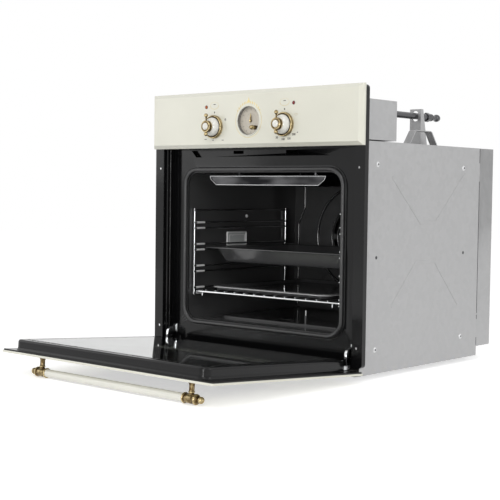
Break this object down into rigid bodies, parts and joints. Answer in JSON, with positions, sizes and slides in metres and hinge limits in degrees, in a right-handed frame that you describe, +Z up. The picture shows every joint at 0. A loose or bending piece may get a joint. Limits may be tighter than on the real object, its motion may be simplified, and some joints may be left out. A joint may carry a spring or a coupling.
{
  "type": "built-in gas oven",
  "caption": "Built-in gas oven with a drop-down door, ivory fascia with two knobs and a clock, enamelled cavity with trays and shelf, and a galvanised casing.",
  "frame": {"origin": "underside of the casing, midway across, in the plane of the cabinet's face", "axes": "+X to the oven's right as seen from the front, +Y backward into the cabinet, +Z up; the front faces -Y"},
  "size_m": [0.596, 0.975, 0.6005],
  "materials": {
    "galvanised": "galvanised sheet, matt",
    "black_enamel": "black vitreous enamel, glossy",
    "ivory_enamel": "ivory enamel, satin gloss",
    "gasket": "woven fibre, matt",
    "mineral_wool": "loose fibre",
    "bronze": "antique bronze, worn",
    "brass": "plain turned brass",
    "dark_plastic": "moulded",
    "valve_metal": "die cast",
    "plated_steel": "zinc plated",
    "bright_steel": "polished",
    "chrome": "bright chrome wire",
    "dial": "printed dial, satin",
    "orange_lens": "clear coloured lens",
    "red_lens": "clear coloured lens",
    "clear_glass": "pressed glass",
    "dark_glass": "dark tinted glass, mirror gloss",
    "porcelain": "white glaze"
  },
  "bodies": {
    "oven": {"left_side_panel": "galvanised", "right_side_panel": "galvanised", "top_panel": "galvanised", "bottom_panel": "galvanised", "rear_panel": "galvanised", "rear_box": "galvanised", "control_box": "galvanised", "mounting_frame": "black_enamel", "front_plate": "black_enamel", "door_gasket": "gasket", "cavity": "black_enamel", "insulation": "mineral_wool", "fascia": "ivory_enamel", "knob_bezels": "bronze", "function_switch": "dark_plastic", "thermostat_valve": "valve_metal", "clock_movement": "dark_plastic", "clock_bezel": "ivory_enamel", "clock_dial": "dial", "left_pilot_lamp": "orange_lens", "right_pilot_lamp": "red_lens", "gas_pipe": "plated_steel", "hose_tail": "brass", "pipe_bracket": "galvanised", "strap_bracket": "galvanised", "oven_burner": "plated_steel", "burner_pipe": "valve_metal", "grill_reflector": "black_enamel", "grill_burner": "plated_steel", "fan_baffle": "black_enamel", "fan_motor": "dark_plastic", "lamp_window": "clear_glass", "oven_lamp": "porcelain", "left_rack": "chrome", "right_rack": "chrome", "sole_plate": "black_enamel", "sensing_bulb": "plated_steel", "igniter": "porcelain", "terminal_block": "dark_plastic", "hinge_arms": "bright_steel", "panel_screws": "plated_steel"},
    "door": {"door_panel": "ivory_enamel", "door_window": "dark_glass", "door_liner": "black_enamel", "door_inner_glass": "dark_glass", "hinge_bodies": "plated_steel", "handle_bar": "ivory_enamel", "handle_ends": "bronze"},
    "function_control": {"function_knob": "porcelain", "function_knob_ring": "bronze"},
    "thermostat_push": {"thermostat_plunger": "brass"},
    "thermostat_control": {"thermostat_knob": "porcelain", "thermostat_knob_ring": "bronze"},
    "clock_setter": {"setting_knob": "bronze"},
    "clock_minute": {"minute_hand": "bronze"},
    "clock_hour": {"hour_hand": "bronze"},
    "fan": {"fan_wheel": "plated_steel"},
    "roasting_tray": {"deep_tray": "black_enamel"},
    "shelf": {"wire_shelf": "chrome"},
    "baking_tray": {"flat_tray": "black_enamel"}
  },
  "joints": [
    {"name": "door_hinge", "type": "hinge", "parent": "oven", "child": "door", "pos_m": [0, -0.0065, 0.0205], "axis": [-1, 0, 0], "range_deg": [0, 86]},
    {"name": "function_turn", "type": "hinge", "parent": "oven", "child": "function_control", "pos_m": [-0.1, -0.05, 0.513], "axis": [0, 1, 0], "range_deg": [0, 270]},
    {"name": "thermostat_press", "type": "slide", "parent": "oven", "child": "thermostat_push", "axis": [0, 1, 0], "range_m": [0, 0.0035], "stiffness_N_per_m": 1500},
    {"name": "thermostat_turn", "type": "hinge", "parent": "thermostat_push", "child": "thermostat_control", "pos_m": [0.1, -0.05, 0.513], "axis": [0, 1, 0], "range_deg": [-270, 0]},
    {"name": "clock_set", "type": "hinge", "parent": "oven", "child": "clock_setter", "pos_m": [0.02, -0.03, 0.5085], "axis": [0, 1, 0], "continuous": true},
    {"name": "minute_turn", "type": "hinge", "parent": "oven", "child": "clock_minute", "pos_m": [0, -0.02, 0.524], "axis": [0, 1, 0], "continuous": true},
    {"name": "hour_turn", "type": "hinge", "parent": "oven", "child": "clock_hour", "pos_m": [0, -0.02, 0.524], "axis": [0, 1, 0], "continuous": true},
    {"name": "fan_spin", "type": "hinge", "parent": "oven", "child": "fan", "pos_m": [0, 0.39, 0.265], "axis": [0, 1, 0], "continuous": true},
    {"name": "roasting_tray_slide", "type": "slide", "parent": "oven", "child": "roasting_tray", "axis": [0, 1, 0], "range_m": [-0.25, 0]},
    {"name": "shelf_slide", "type": "slide", "parent": "oven", "child": "shelf", "axis": [0, 1, 0], "range_m": [-0.25, 0]},
    {"name": "baking_tray_slide", "type": "slide", "parent": "shelf", "child": "baking_tray", "axis": [0, 1, 0], "range_m": [-0.15, 0]}
  ],
  "couplings": [
    {"joint": "minute_turn", "follows": "clock_set", "ratio": -1},
    {"joint": "hour_turn", "follows": "clock_set", "ratio": -0.083333}
  ]
}
